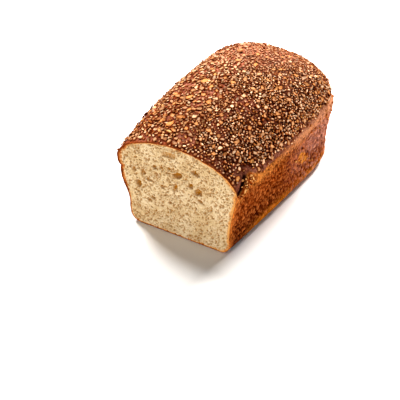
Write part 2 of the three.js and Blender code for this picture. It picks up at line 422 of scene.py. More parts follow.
def crust_relief(points, normals, place, rim):
    """The crust moved in and out, and the fine upright bumps of its wall. The dome has broader lumps."""
    behind = points[:, 1] - CUT_Y
    dome = smoothstep(*DOME_START, above_lip(points))
    wall = smoothstep(*WALL_START, place) * (1 - dome)
    valley = in_valley(points) * smoothstep(0, VALLEY_START, behind)
    grain = hard_field(points, WALL_GRAIN_SIZE, 11.0)
    crown = lumps(points, CROWN_LUMP) + lumps(points, CROWN_GRIT, 5.0)
    side = lumps(points, WALL_LUMP, 3.0) + WALL_GRAIN * grain
    side = side + BLISTER_RISE * fade(in_blister(points), 1.0)
    smooth_rim = lerp(RIM_RELIEF, 1, smoothstep(0, RIM_RELIEF_RUN, behind))
    height = dome * crown + wall * side * smooth_rim - VALLEY_DEPTH * valley
    moved = points + normals * height[:, None]
    moved[rim, 1] = CUT_Y
    moved[:, 2] = np.maximum(moved[:, 2], 0)
    return moved, wall * grain


# Cover of the topping: where its edge lies, how evenly it lies inside, and what strays beyond.
COVER_SIDES = (-20, 20)  # across, from the left to the right
COVER_BEGINS = (-4.0, 2.0)  # height above the lip where it begins, on the left and the right
COVER_FULL = (0.0, 10.0)  # and where it is full
COVER_WANDER = (4.0, 5.0)  # how far that edge wanders up and down, and in lumps of what size
CREASE_BARE = (4.0, 7.0)  # line of bare crust behind the shoulder
CUT_BARE = (7.0, 1.8)  # bare rim along the cut, on the far left and further right
CUT_BARE_SIDES = (-45, -10)
CUT_BARE_START = 0.1  # share of that rim without any topping
COVER_MEAN = 0.9
COVER_PATCHES = (0.9, 16.0)
COVER_LEAST = (0.5, 0.85)  # in the thinnest patches, near the cut and further back
COVER_LEAST_RUN = (0, 45)
STRAY_COVER = 0.05  # at the head of the far wall
STRAY_START = (WALL + 0.75, LIP)
STRAY_RUN = (20, 60)
SHOULDER_COVER = 2.2  # in a row along the shoulder, which runs between these distances
SHOULDER_ROW = (-5.0, 2.6)
SHOULDER_ROW_START = (1, 14)
SHOULDER_ROW_END = (22, 31)
BLISTER_COVER = 0.15


def topping_cover(points, place):
    """How thickly the topping lies, from 0 on bare crust to 1."""
    x, y, _ = points.T
    behind = y - CUT_Y
    above = above_lip(points)
    right = smoothstep(*COVER_SIDES, x)
    uneven = above + lumps(points, COVER_WANDER, 33.0)
    dome = smoothstep(lerp(*COVER_BEGINS, right), lerp(*COVER_FULL, right), uneven)
    dome = dome * (1 - on_line(above, CREASE_BARE) * behind_shoulder(points))
    bare = lerp(*CUT_BARE, smoothstep(*CUT_BARE_SIDES, x))
    away = smoothstep(CUT_BARE_START * bare, bare, behind)
    least = lerp(*COVER_LEAST, smoothstep(*COVER_LEAST_RUN, y))
    cover = dome * away * np.clip(COVER_MEAN + lumps(points, COVER_PATCHES, 31.0), least, 1)
    stray = STRAY_COVER * smoothstep(*STRAY_START, place) * smoothstep(*STRAY_RUN, y)
    row = smoothstep(*SHOULDER_ROW_START, behind) * (1 - smoothstep(*SHOULDER_ROW_END, behind))
    shoulder = SHOULDER_COVER * on_line(above, SHOULDER_ROW) * row * (x > 0)
    blister = BLISTER_COVER * fade(in_blister(points), 1.0)
    return np.maximum(cover, stray + shoulder + blister)


# Colours of the crust. A coating is a colour, its mean share, and how far a pattern varies that.
WALL_BROWN = colour(136, 52, 6)
WALL_RED = (colour(156, 66, 14), 0.5, 1.0)
WALL_LOW = (colour(84, 24, 1), 0.9, 0.0)
# painted highlight on the tops of the wall's bumps
WALL_BUMP_HIGHLIGHT = (colour(228, 128, 62), -0.1, 0.8)
SHOULDER_GOLD = (colour(242, 150, 66), 1.1, 1.0)
SHOULDER_PALE = (colour(230, 160, 92), 0.4, 1.0)
FOOT_GOLD = (colour(206, 116, 16), 0.9, 0.6)
BLISTER_GOLD = (colour(236, 146, 58), 0.95, 0.8)
# peach along the ridge of the right wall: paler crust with a painted highlight
RIDGE_PEACH_HIGHLIGHT = colour(244, 164, 114)
WALL_RIDGE = (RIDGE_PEACH_HIGHLIGHT, 1.1, 1.2)
DOME_RIDGE = (RIDGE_PEACH_HIGHLIGHT, 0.45, 0.45)
# painted sheen, mauve and in pink streaks, far back on the right wall
FAR_MAUVE_SHEEN = (colour(188, 120, 104), 1.0, 0.0)
FAR_PINK_SHEEN = (colour(232, 160, 134), 0.0, 0.6)
CROWN_RED = colour(144, 78, 56)
CROWN_BACK = colour(196, 127, 94)
# Painted shade of the crust under the topping, on the left and on the right.
CROWN_SHADE = colour(80, 18, 0)
CROWN_DARK = colour(50, 7, 0)
# a fine mottle on the right: dark spots, with painted pink highlights between them
DARK_PITS = (CROWN_DARK, 0.0, 0.6)
# painted shade in the crease behind the shoulder
CREASE_SHADE = (CROWN_DARK, 0.4, 0.0)
CROWN_PINK = colour(188, 122, 98)
PINK_PATCHES = (CROWN_PINK, 0.4, 1.4)
PINK_HIGHLIGHTS = (CROWN_PINK, 0.0, -0.3)
VALLEY_SHADE = (colour(26, 2, 2), 1.8, 0.0)
RIM_ORANGE = (colour(226, 126, 52), 0.9, 1.0)
RIM_BROWN = (colour(136, 60, 20), 0.9, 0.0)
PIT_SHADE = np.array([0.26, 0.16, 0.08])  # painted shade of pits, beside the crust round them
HIDDEN_SHADE = np.array([0.52, 0.42, 0.4])  # painted shade of the hidden walls and of those sides, beside the wall that shows

# Patterns in those colours, and where the colours lie: limits across, along and up, and lines.
PATCH_SIZE = 22.0
SPECKLE_SIZE = 4.0
PINK_SIZE = 6.0
PIT_SIZE = 2.0
PIT_HARDNESS = 2.0
FAR_STREAK_SIZE = (2.8, 2.8, 4.0)
DOME_WANDER = (1.5, 7.0)  # how far the dome's lower edge wanders, and in lumps of what size
RIGHT_WALL = (15, 50)
HIDDEN_WALL = (25, -15)
NEAR_WALL = (30, -50)
FAR_WALL = (-20, 50)
LOW_WALL = (42, 8)
SHEEN_HEIGHT = (12, 46)
SHEEN_WANDER = 8
SHOULDER_LINE = (-4, 8.0)
SHOULDER_RUNS_OUT = (-90, 0)
SHOULDER_KEPT = 0.3  # share of the shoulder's gold that is left further back
RIDGE_LINE = (-3, 5.0)
RIDGE_WANDER = 3
RIDGE_STARTS = (-45, 20)
RIDGE_RUNS_OUT = (30, 70)
RIDGE_KEPT = 0.5
FOOT_LINE = (8, 4.5)
FOOT_STARTS = (-85, -50)
WALL_PITS = (1.1, 0.6)  # how strong the painted pit shade is on the right wall and on the hidden ones
STREAK_PITS = 0.7
RIDGE_PITS = 0.5
BLISTER_RING = (0.75, 0.3)  # lines in the blister, in shares of its radius
BLISTER_MIDDLE = (0.0, 0.8)
BLISTER_GLOW = 0.4  # of its middle, beside the ring
CROWN_RUN = (0, 60)  # along, to the paler back of the dome
# share of the pink patches kept on the right, under its painted shade
PINK_ON_RIGHT = 0.3
DARK_UNDER = (0.4, 1.1)  # painted shade: how dark the crust is under the topping, on the left and the right
DARK_AT_BACK = 0.35
DARK_PATCHES = 0.3
DARK_SPECKLES = 0.6
DARK_LESS = 0.1
WALL_RIM = 3.5  # width of the cut's rim on the wall, and on the dome's left and right
DOME_RIM = (3.2, 1.6)
CREASE_SHADE_LINE = (6, 5.0)
PITTED_LINE = (0, 5.0)
PEACH_LINE = (0, 4.0)
PEACH_STARTS = (-35, 10)
PALE_LINE = (-2.5, 2.2)
VALLEY_RIM = 1.5  # distance behind the cut at which the crease's painted shade is full


def wall_tints(points, grain, patch, speckle):
    """The wall's colours: brown with painted highlights and pit shade on its bumps, golden along its head
    and its foot, and a painted mauve sheen far back on the right.
    """
    x, y, z = points.T
    above = above_lip(points)
    on_right = smoothstep(*RIGHT_WALL, x)
    far = smoothstep(*FAR_WALL, y) * on_right
    hidden = smoothstep(*HIDDEN_WALL, x)
    tints = np.tile(WALL_BROWN, (len(points), 1))
    tints = coat(tints, WALL_RED, 1, patch)
    tints = coat(tints, WALL_LOW, smoothstep(*LOW_WALL, z) * smoothstep(*NEAR_WALL, y))
    tints = coat(tints, FAR_MAUVE_SHEEN, far * smoothstep(*SHEEN_HEIGHT, z + SHEEN_WANDER * patch))
    shoulder = on_line(above, SHOULDER_LINE) * lerp(1, SHOULDER_KEPT, smoothstep(*SHOULDER_RUNS_OUT, y))
    tints = coat(tints, SHOULDER_GOLD, shoulder, speckle)
    ridge = on_line(above + RIDGE_WANDER * patch, RIDGE_LINE) * smoothstep(*RIDGE_STARTS, y) * on_right
    ridge = ridge * lerp(1, RIDGE_KEPT, smoothstep(*RIDGE_RUNS_OUT, y))
    tints = coat(tints, WALL_RIDGE, ridge, speckle)
    tints = coat(tints, FOOT_GOLD, on_line(z, FOOT_LINE) * smoothstep(*FOOT_STARTS, y), patch)
    tints = coat(tints, WALL_BUMP_HIGHLIGHT, 1, grain)
    tints = blend(tints, tints * PIT_SHADE, -lerp(*WALL_PITS, hidden) * grain)
    streak = hard_field(points, FAR_STREAK_SIZE, 19.0) * far
    tints = coat(tints, FAR_PINK_SHEEN, 1, streak)
    tints = blend(tints, tints * PIT_SHADE, -STREAK_PITS * streak)
    tints = blend(tints, tints * HIDDEN_SHADE, hidden)
    reach = in_blister(points)
    golden = on_line(reach, BLISTER_RING) + BLISTER_GLOW * on_line(reach, BLISTER_MIDDLE)
    return coat(tints, BLISTER_GOLD, golden, speckle)


def crown_tints(points, place, pit, patch, speckle):
    """The dome's colours: red with pink patches, paler far back, and painted shade on the right, under the
    topping and low on the far sides.
    """
    right = shaded_side(points)
    back = smoothstep(*CROWN_RUN, points[:, 1])
    tints = np.tile(CROWN_RED, (len(points), 1))
    tints = blend(tints, CROWN_BACK, back)
    tints = coat(tints, PINK_PATCHES, lerp(1, PINK_ON_RIGHT, right), field(points, PINK_SIZE, 17.0))
    dark = topping_cover(points, place) * lerp(*DARK_UNDER, right)
    dark = dark * lerp(1, DARK_AT_BACK, back * (1 - right))
    dark = dark + DARK_PATCHES * patch + DARK_SPECKLES * speckle - DARK_LESS
    tints = blend(tints, lerp(CROWN_SHADE, CROWN_DARK, right[:, None]), dark)
    tints = coat(tints, DARK_PITS, right, pit)
    tints = coat(tints, PINK_HIGHLIGHTS, right, pit)
    return blend(tints, tints * HIDDEN_SHADE, shade_far_and_left(points))


def crust_tints(points, place, grain):
    """The crust's colours: the wall's and the dome's, then the cut's rim, the ridge with a painted
    highlight and the crease with painted shade.
    """
    x, y, _ = points.T
    above = above_lip(points)
    behind = y - CUT_Y
    crease = behind_shoulder(points)
    patch = field(points, PATCH_SIZE, 7.0, 3)
    speckle = field(points, SPECKLE_SIZE, 9.0)
    pit = hard_field(points, PIT_SIZE, 29.0, PIT_HARDNESS)
    dome = smoothstep(*DOME_START, above + lumps(points, DOME_WANDER, 13.0))
    side = wall_tints(points, grain, patch, speckle)
    tints = blend(side, crown_tints(points, place, pit, patch, speckle), dome)
    tints = coat(tints, RIM_ORANGE, (1 - dome) * fade(behind, WALL_RIM), speckle)
    tints = coat(tints, RIM_BROWN, dome * fade(behind, lerp(*DOME_RIM, shaded_side(points))))
    tints = coat(tints, CREASE_SHADE, on_line(above, CREASE_SHADE_LINE) * crease)
    pitted = on_line(above, PITTED_LINE) * (x > RIGHT_WALL[0])
    tints = blend(tints, tints * PIT_SHADE, RIDGE_PITS * pitted * pit)
    peach = on_line(above, PEACH_LINE) * smoothstep(*PEACH_STARTS, y) * smoothstep(*RIGHT_WALL, x)
    tints = coat(tints, DOME_RIDGE, peach, speckle)
    tints = coat(tints, SHOULDER_PALE, on_line(above, PALE_LINE) * crease, speckle)
    return coat(tints, VALLEY_SHADE, in_valley(points) * smoothstep(0, VALLEY_RIM, behind))


# Crumb

RASTER = 0.25  # cell of the map on which the crumb's hollows are gathered
FACE_LOW = np.array([-70.0, -2.0])
FACE_SPAN = np.array([140.0, 100.0])
FACE_STEP = 0.42  # spacing of the points on the cut face
FACE_JITTER = 0.12  # how far they stray, and their distance from the rim, in steps
FACE_CLEARANCE = 0.6
MERGE_DISTANCE = 1e-6
NO_PLACES = np.empty((0, 2))
HOLLOW_REACH = 1.5  # room for an uneven hollow, beside its half size
LOBES = 3  # waves round a hollow's edge, and their height
LOBE_HEIGHT = 0.14
HOLE_TURN = 0.3  # most that a hole is turned, in radians
PORE_COUNT = 17000
PORE_RADIUS = (0.27, 1.05)
PORE_FINENESS = 5  # higher makes more of the pores small
PORE_STRETCH = (0.7, 1.4)
PORE_CHANCE = 0.75
PORE_PATCH = 7.0  # size of the patches with more or fewer pores
PORE_DEPTH = 2.1  # of a pore, as a share of its radius
RIM_KEEP = (0.3, 1.2)  # distances from the crust over which the hollows begin
CRUMB_DEPTH = 8.0  # the crumb reaches this far behind the cut
CRUMB_SCALE = 0.93

# Crumb holes: middle on the cut face, then width, height and depth.
HOLES = (
    (1, 64, 11, 6, 4.5), (19, 72.5, 10, 4.5, 3.8), (14.5, 58, 5.5, 5.5, 3.8), (22, 54, 7.5, 8, 4.2),
    (-39, 41.5, 6, 8.5, 4.4), (-34, 55, 6, 5.5, 3.6), (-22.5, 64.5, 4.5, 4.5, 3.6), (-20.5, 58, 4, 4, 3.4),
    (-1, 51, 5, 7.5, 3.6), (-43.5, 55, 4, 5, 3.6), (-7, 82, 14, 6.5, 2.2), (-14.5, 46.5, 4.5, 4, 3.2),
    (-24, 31.5, 5, 3.5, 3), (-28.5, 28, 5, 3.5, 3), (24, 45.5, 6, 3.5, 3), (20, 36.5, 2.5, 2.5, 3.4),
    (30, 68.7, 2.5, 2.5, 3.4), (-7.7, 68.2, 5, 3.3, 2.6), (-9.3, 62.8, 4.5, 2, 2.4),
    (-15.4, 66.4, 4, 3, 2.4), (-53.7, 62.7, 2, 4.5, 2.6), (-28, 49, 9, 2.6, 2.8), (-6.6, 32.6, 4, 3, 2.8),
)


def hollow_map(rng):
    """Depth of the crumb's holes and pores over the cut face."""
    cells = (FACE_SPAN / RASTER).astype(int)
    depth = np.zeros(cells)
    x = FACE_LOW[0] + RASTER * np.arange(cells[0])
    z = FACE_LOW[1] + RASTER * np.arange(cells[1])

    def sink(middle_x, middle_z, half_wide, half_high, deep, turn):
        reach = HOLLOW_REACH * max(half_wide, half_high)
        i = slice(*np.searchsorted(x, (middle_x - reach, middle_x + reach)))
        j = slice(*np.searchsorted(z, (middle_z - reach, middle_z + reach)))
        along = x[i][:, None] - middle_x
        up = z[j][None, :] - middle_z
        u = (along * math.cos(turn) + up * math.sin(turn)) / half_wide
        v = (up * math.cos(turn) - along * math.sin(turn)) / half_high
        angle = np.arctan2(v, u)
        lobes = rng.uniform(-LOBE_HEIGHT, LOBE_HEIGHT, LOBES)
        phases = rng.uniform(0, 2 * math.pi, LOBES)
        edge = 1 + sum(lobes[k] * np.sin((k + 2) * angle + phases[k]) for k in range(LOBES))
        share = np.clip(1 - (u * u + v * v) / edge ** 2, 0, 1)
        depth[i, j] = np.maximum(depth[i, j], deep * np.sqrt(share))

    for hole_x, hole_z, wide, high, deep in HOLES:
        sink(hole_x, hole_z, wide / 2, high / 2, deep, rng.uniform(-HOLE_TURN, HOLE_TURN))
    for _ in range(PORE_COUNT):
        middle = FACE_LOW + FACE_SPAN * rng.random(2)
        if rng.random() > PORE_CHANCE + noise.noise((middle[0] / PORE_PATCH, 0, middle[1] / PORE_PATCH)):
            continue
        radius = lerp(*PORE_RADIUS, rng.random() ** PORE_FINENESS)
        stretch = rng.uniform(*PORE_STRETCH)
        sink(*middle, radius * stretch, radius / stretch, PORE_DEPTH * radius, rng.uniform(0, math.pi))
    return depth


def read_map(values, places):
    """Values of a map at places between its cells."""
    cell = (places - FACE_LOW) / RASTER
    low = np.floor(cell).astype(int)
    part = cell - low
    i, j = low.T
    s, t = part.T
    near = lerp(values[i, j], values[i + 1, j], s)
    far = lerp(values[i, j + 1], values[i + 1, j + 1], s)
    return lerp(near, far, t)


def rim_distance(places, outline):
    """Distance of places from a closed outline, with less than 0 outside it."""
    run = np.roll(outline, -1, axis=0) - outline
    length_squared = (run ** 2).sum(axis=1)
    nearest = np.full(len(places), np.inf)
    crossings = np.zeros(len(places), int)
    for origin, step, squared in zip(outline, run, length_squared):
        offset = places - origin
        share = np.clip(offset @ step / squared, 0, 1)
        gap = offset - share[:, None] * step
        nearest = np.minimum(nearest, (gap ** 2).sum(axis=1))
        above = (offset[:, 1] >= 0) != (offset[:, 1] >= step[1])
        crossing_x = step[0] * offset[:, 1] / (step[1] if step[1] else TINY)
        crossings += above & (offset[:, 0] < crossing_x)
    return np.where(crossings % 2 == 1, 1, -1) * np.sqrt(nearest)


def filled(outline, places=NO_PLACES):
    """Triangles that fill an outline, through its own points and then the places inside it."""
    everything = [Vector(spot) for spot in np.concatenate([outline, places])]
    loop = list(range(len(outline)))
    result = geometry.delaunay_2d_cdt(everything, [], [loop], 1, MERGE_DISTANCE)
    original = np.array([sources[0] for sources in result[3]])
    return original[np.array(result[2])]


def face_places(outline, rng):
    """Evenly spread places inside the outline of the cut face, and their distances from it."""
    low = outline.min(axis=0)
    high = outline.max(axis=0)
    columns = np.arange(low[0], high[0], FACE_STEP)
    rows = np.arange(low[1], high[1], FACE_STEP * math.sqrt(3) / 2)
    across, up = np.meshgrid(columns, rows)
    across[1::2] += FACE_STEP / 2
    places = np.stack([across.ravel(), up.ravel()], axis=1)
    places += rng.uniform(-FACE_JITTER, FACE_JITTER, places.shape) * FACE_STEP
    distance = rim_distance(places, outline)
    inside = distance > FACE_CLEARANCE * FACE_STEP
    return places[inside], distance[inside]


CRUMB = colour(208, 178, 132)
CRUMB_PALE = colour(224, 200, 160)
# painted shade in the crumb's hollows, darker where they are deeper
CRUMB_HOLLOW_SHADE = colour(160, 102, 14)
CRUMB_CRUST = colour(112, 46, 14)
CRUMB_PATCH_SIZE = 18.0
CRUMB_SPECKLE_SIZE = 1.7
PALE_MEAN = 0.4
PALE_SPECKLES = 0.8
HOLLOW_SHARE = 1.25  # of the hollows' painted shade where they are deepest
HOLLOW_DEPTH = 0.9  # depth at which half of it is reached, before this curve
HOLLOW_CURVE = 1.4
HOLLOW_SPECKLES = 0.3
RING_RIGHT = (30, 55)  # across, to where the rings along the crust change
RING_LEFT = (-44, -56)
RING_WANDER = (0.35, 6.0)

# Rings along the crust: colour, width, what the right and the left add, and shares of it to fade between.
CRUMB_RINGS = (
    (colour(222, 158, 86), 1.4, 1.3, 2.2, (1.5, 0.6)),
    (colour(172, 86, 30), 0.9, -0.4, 2.0, (1.5, 0.5)),
    (CRUMB_CRUST, 0.5, -0.2, 1.2, (1.4, 0.4)),
)


def crumb_tints(places, distance, depth):
    """The crumb's colours: cream, ochre painted shade in the hollows, golden and then brown towards the
    crust.
    """
    x, z = places.T
    solid = np.stack([x, 0 * x, z], axis=1)
    patch = field(solid, CRUMB_PATCH_SIZE, 21.0, 3)
    speckle = field(solid, CRUMB_SPECKLE_SIZE, 25.0)
    tints = np.tile(CRUMB, (len(places), 1))
    tints = blend(tints, CRUMB_PALE, PALE_MEAN + patch + PALE_SPECKLES * speckle)
    hollow = HOLLOW_SHARE * (depth / (depth + HOLLOW_DEPTH)) ** HOLLOW_CURVE
    tints = blend(tints, CRUMB_HOLLOW_SHADE, hollow - HOLLOW_SPECKLES * speckle)
    right = smoothstep(*RING_RIGHT, x)
    left = smoothstep(*RING_LEFT, x)
    uneven = 1 + lumps(solid, RING_WANDER, 23.0)
    for tone, width, right_adds, left_adds, (outer, inner) in CRUMB_RINGS:
        ring = uneven * (width + right_adds * right + left_adds * left)
        tints = blend(tints, tone, smoothstep(outer * ring, inner * ring, distance))
    return tints


# Body

def skirt(front, back):
    """Triangles of a band between two rings of points."""
    front_next = np.roll(front, -1)
    back_next = np.roll(back, -1)
    return np.concatenate([
        np.stack([front, front_next, back_next], axis=1),
        np.stack([front, back_next, back], axis=1),
    ])


def sunk_ring(outline, depth, scale):
    """The cut's outline, drawn in towards its middle and set behind the cut."""
    middle = outline.mean(axis=0)
    x, z = (middle + (outline - middle) * scale).T
    return np.stack([x, np.full(len(x), CUT_Y + depth), z], axis=1)


def crust_body():
    """The crust as a closed mesh with a recess at the cut, what other pieces need of it, and its tints."""
    plain, skin, place, rim = crust_mesh()
    normals = vertex_normals(plain, skin)
    normals[rim, 1] = 0
    points, grain = crust_relief(plain, normals, place, rim)
    outline = points[rim][:, [0, 2]]
    ring = sunk_ring(outline, RECESS_DEPTH, RECESS_SCALE)
    numbers = len(points) + np.arange(len(ring))
    inside = np.concatenate([skirt(rim, numbers), numbers[filled(ring[:, [0, 2]])]])
    smooth = np.repeat([True, False], [len(skin), len(inside)])
    everything = np.concatenate([points, ring])
    crust = mesh_object("loaf_crust", everything, np.concatenate([skin, inside]), smooth)
    tints = np.concatenate([crust_tints(plain, place, grain), np.tile(CRUMB_CRUST, (len(ring), 1))])
    return crust, points, skin, place, outline, tints


def crumb_body(outline, rng):
    """The crumb as a closed slab that shows its holes and pores at the cut."""
    places, distance = face_places(outline, rng)
    depth = read_map(hollow_map(rng), places) * smoothstep(*RIM_KEEP, distance)
    edge = sunk_ring(outline, 0.0, 1.0)
    inner = np.stack([places[:, 0], CUT_Y + depth, places[:, 1]], axis=1)
    ring = sunk_ring(outline, CRUMB_DEPTH, CRUMB_SCALE)
    face = filled(outline, places)
    front = np.arange(len(outline))
    back = len(outline) + len(places) + front
    behind = back[filled(ring[:, [0, 2]])]
    inside = np.concatenate([skirt(front, back), behind])[:, ::-1]
    smooth = np.repeat([True, False], [len(face), len(inside)])
    everything = np.concatenate([edge, inner, ring])
    crumb = mesh_object("loaf_crumb", everything, np.concatenate([face, inside]), smooth)
    brown = np.tile(CRUMB_CRUST, (len(outline), 1))
    paint(crumb, np.concatenate([brown, crumb_tints(places, distance, depth), brown]))
    return crumb


# Places of the topping

class Draws:
    """The repeatable draws between 0 and 1 that place the solid's flakes."""

    def __init__(self, seed):
        self.state = seed

    def draw(self):
        self.state = (self.state * DRAW_FACTOR + DRAW_STEP) % DRAW_SPAN
        return self.state / DRAW_SPAN


def crown_points(along, up):
    """Points on the smooth dome, at shares of the way round it and up it."""
    run = along * WHOLE_RUN
    beyond = np.clip(run - SIDE_RUN, 0, FAR_RUN)
    y = CUT_Y + np.minimum(run, SIDE_RUN) - np.maximum(0, run - SIDE_RUN - FAR_RUN)
    return carry(y, math.pi * beyond / FAR_RUN, *dome_section(y, up), DOME_PLAN)


def crown_place(along, up):
    """A point on the smooth dome and the crust's two tangents there."""
    step = TANGENT_STEP
    around = crown_points(along + np.array([0, step, -step, 0, 0]), up + np.array([0, 0, 0, step, -step]))
    return around[0], (around[1] - around[2]) / (2 * step), (around[3] - around[4]) / (2 * step)


def draw_place(draws):
    """One place on the dome, drawn so that every patch of crust is as likely as its area."""
    while True:
        along = draws.draw()
        up = lerp(LIP_MARGIN, CROWN_MARGIN, draws.draw())
        keep = draws.draw()
        point, a, u = crown_place(along, up)
        cell = np.linalg.norm(np.cross(a, u))
        if keep * WHOLE_RUN * CROWN_WIDTH < cell and point[1] > CUT_Y + CUT_MARGIN:
            return point, a, u


def solid_flakes():
    """Middle, axes and half sizes of the flakes that the solid has."""
    draws = Draws(SPREAD_SEED)
    places = []
    points = np.empty((0, 3))
    while len(places) < FLAKE_COUNT:
        tries = [draw_place(draws) for _ in range(SPREAD_TRIES)]
        spots = np.array([point for point, _, _ in tries])
        gaps = np.linalg.norm(spots[:, None] - points[None], axis=2)
        best = int(np.argmax(gaps.min(axis=1))) if len(points) else 0
        places.append(tries[best])
        points = np.concatenate([points, spots[best:best + 1]])
    flakes = []
    for point, a, u in places:
        length = lerp(*FLAKE_LENGTH, draws.draw())
        width = length * lerp(*FLAKE_ASPECT, draws.draw())
        spin = draws.draw() * 2 * math.pi
        tilt = math.radians(FLAKE_TILT * draws.draw())
        lean = draws.draw() * 2 * math.pi
        normal = unit(np.cross(a, u))
        turned = Matrix.Rotation(lean, 3, "Z") @ Matrix.Rotation(tilt, 3, "X")
        turned = turned @ Matrix.Rotation(-lean, 3, "Z") @ Matrix.Rotation(spin, 3, "Z")
        axes = axes_of(unit(a), normal) @ np.array(turned)
        flakes.append((point + normal * FLAKE_LIFT, axes, (length / 2, width / 2)))
    return [np.array(column) for column in zip(*flakes)]


# Large flakes that stand out: middle across and along, half length and width, and turn in degrees.
LARGE_FLAKES = (
    (-20.6, -17.3, 4.6, 3.0, 30), (-21.7, -41.9, 4.2, 2.6, 30), (-0.6, -43.2, 3.2, 2.6, 75),
    (-15.0, -66.8, 4.0, 1.8, 35), (-19.5, -76.1, 4.2, 3.0, 60), (-30.0, -73.1, 4.2, 1.8, 75),
    (-12.0, -57.3, 3.4, 2.0, 45), (-9.6, -24.3, 3.0, 2.4, 90),
)


def large_flakes(points, normals, place):
    """Middle, axes and half sizes of the flakes that stand out, on the crust below their places."""
    crown = np.flatnonzero(place > DOME)
    flakes = []
    for x, y, half_length, half_width, turn in LARGE_FLAKES:
        nearest = crown[np.argmin(np.hypot(points[crown, 0] - x, points[crown, 1] - y))]
        normal = normals[nearest]
        east = np.array([math.cos(math.radians(turn)), math.sin(math.radians(turn)), 0])
        axes = axes_of(along_surface(east, normal), normal)
        flakes.append((points[nearest] + normal * OAT_THICKNESS, axes, (half_length, half_width)))
    return [np.array(column) for column in zip(*flakes)]


class Room:
    """Keeps scattered things apart: each has a place and a radius."""

    CELL = 4.0

    def __init__(self):
        self.cells = {}

    def key(self, point):
        return tuple((point // self.CELL).astype(int))

    def add(self, point, radius):
        self.cells.setdefault(self.key(point), []).append((point, radius))

    def is_free(self, point, radius):
        for cell in product(*((number - 1, number, number + 1) for number in self.key(point))):
            for other, other_radius in self.cells.get(cell, ()):
                gap = point - other
                if gap @ gap < (radius + other_radius) ** 2:
                    return False
        return True


COARSE_TO_FINE = (-30, 20)  # across, from the coarser topping on the left to the finer on the right
SIDE_SIZES = (1.6, 1.0)  # of scattered things on the left and the right, beside the size drawn
SPACING = 0.72  # room that a scattered thing keeps, beside its half length
LEAST_CHANCE = 0.04  # where less is likely, things keep no more room than here


def right_share(spots):
    """How far places lie towards the right, where the topping is finer."""
    return smoothstep(*COARSE_TO_FINE, spots[:, 0])


def scatter(points, triangles, chance, halves, room, rng):
    """Places, normals and half lengths of things on the triangles, thinned by a chance and kept apart."""
    a, b, c = (points[triangles[:, i]] for i in range(3))
    area = np.linalg.norm(np.cross(b - a, c - a), axis=1)
    share = area * chance
    count = len(halves)
    chosen = rng.choice(len(triangles), size=count, p=share / share.sum())
    s, t = np.sort(rng.random((2, count)), axis=0)
    spots = a[chosen] * s[:, None] + b[chosen] * (t - s)[:, None] + c[chosen] * (1 - t)[:, None]
    normals = vertex_normals(points, triangles)[triangles[chosen]].mean(axis=1)
    halves = halves * lerp(*SIDE_SIZES, right_share(spots))
    spacing = SPACING * halves / np.sqrt(np.clip(chance[chosen], LEAST_CHANCE, 1))
    kept = []
    for number in range(count):
        if room.is_free(spots[number], spacing[number]):
            room.add(spots[number], spacing[number])
            kept.append(number)
    return spots[kept], unit(normals[kept]), halves[kept]


def lying_axes(normals, tilt, rng):
    """Axes for things that lie on a surface, turned at random and leaning by up to a tilt, in radians."""
    count = len(normals)
    lean = along_surface(rng.normal(0, 1, (count, 3)), normals)
    angle = (tilt * rng.random(count))[:, None]
    tipped = normals * np.cos(angle) + lean * np.sin(angle)
    east = along_surface(rng.normal(0, 1, (count, 3)), tipped)
    return axes_of(east, tipped)


# Shapes of the topping

CORNER_REACH = (0.55, 1.15)  # of a flake's corners, as a share of its half size
CORNER_SWAY = 0.35  # of a corner round the flake, as a share of a step
TOP_SLOPE = 0.5  # most that a flake's top slopes, as a share of its thickness
LOW_REACH = (0.3, 1)  # of its underside below its middle, as a share of its thickness
UNDERSIDE_SHADE = (0.36, 0.08, 0.01)  # painted shade: how light the underside is, beside the top: dark and reddish
RIM_BROWNING_AND_SHADE = (0.74, 0.48, 0.26)  # how light the top's rim is, beside its middle: browned, and darkened further as painted shade
SIDE_SHADE_STRENGTH = (0.55, 1.05)  # how strongly that painted shade and browning show on the left and the right


def flake_shapes(sizes, corners, rings, crinkle, curl, rng):
    """Uneven curled plates: their points, the triangles that each has, and each point's light."""
    count = len(sizes)
    step = 2 * math.pi / corners
    angle = step * (np.arange(corners) + rng.uniform(-CORNER_SWAY, CORNER_SWAY, (count, corners)))
    radius = rng.uniform(*CORNER_REACH, (count, corners))
    edge = np.stack([radius * np.cos(angle), radius * np.sin(angle)], axis=2)
    middle = np.zeros((count, 1, 2))
    flat = np.concatenate([middle] + [share * edge for share in rings] + [edge, middle], axis=1)
    top_count = 1 + corners * len(rings)
    slope = rng.uniform(-TOP_SLOPE, TOP_SLOPE, (count, 1, 2))
    top = 1 + (slope * flat[:, :top_count]).sum(axis=2) + crinkle * rng.uniform(-1, 1, (count, top_count))
    low = -rng.uniform(*LOW_REACH, (count, corners + 1))
    z = np.concatenate([top, low], axis=1)
    shapes = np.concatenate([flat, z[:, :, None]], axis=2) * sizes[:, None, :]
    shapes[:, :, 2] += flat[:, :, 0] ** 2 * (rng.uniform(*curl, count) * sizes[:, 0])[:, None]
    ring = 1 + np.arange(corners * (len(rings) + 1)).reshape(-1, corners)
    after = np.roll(ring, -1, axis=1)
    last = np.full(corners, ring[-1, -1] + 1)
    triangles = [np.stack([0 * ring[0], ring[0], after[0]], axis=1)]
    for inner in range(len(rings)):
        triangles.append(np.stack([ring[inner], ring[inner + 1], after[inner + 1]], axis=1))
        triangles.append(np.stack([ring[inner], after[inner + 1], after[inner]], axis=1))
    triangles.append(np.stack([ring[-1], last, after[-1]], axis=1))
    light = np.repeat([(1, 1, 1), RIM_BROWNING_AND_SHADE, UNDERSIDE_SHADE], [top_count - corners, corners, corners + 1], axis=0)
    return shapes, np.concatenate(triangles), light


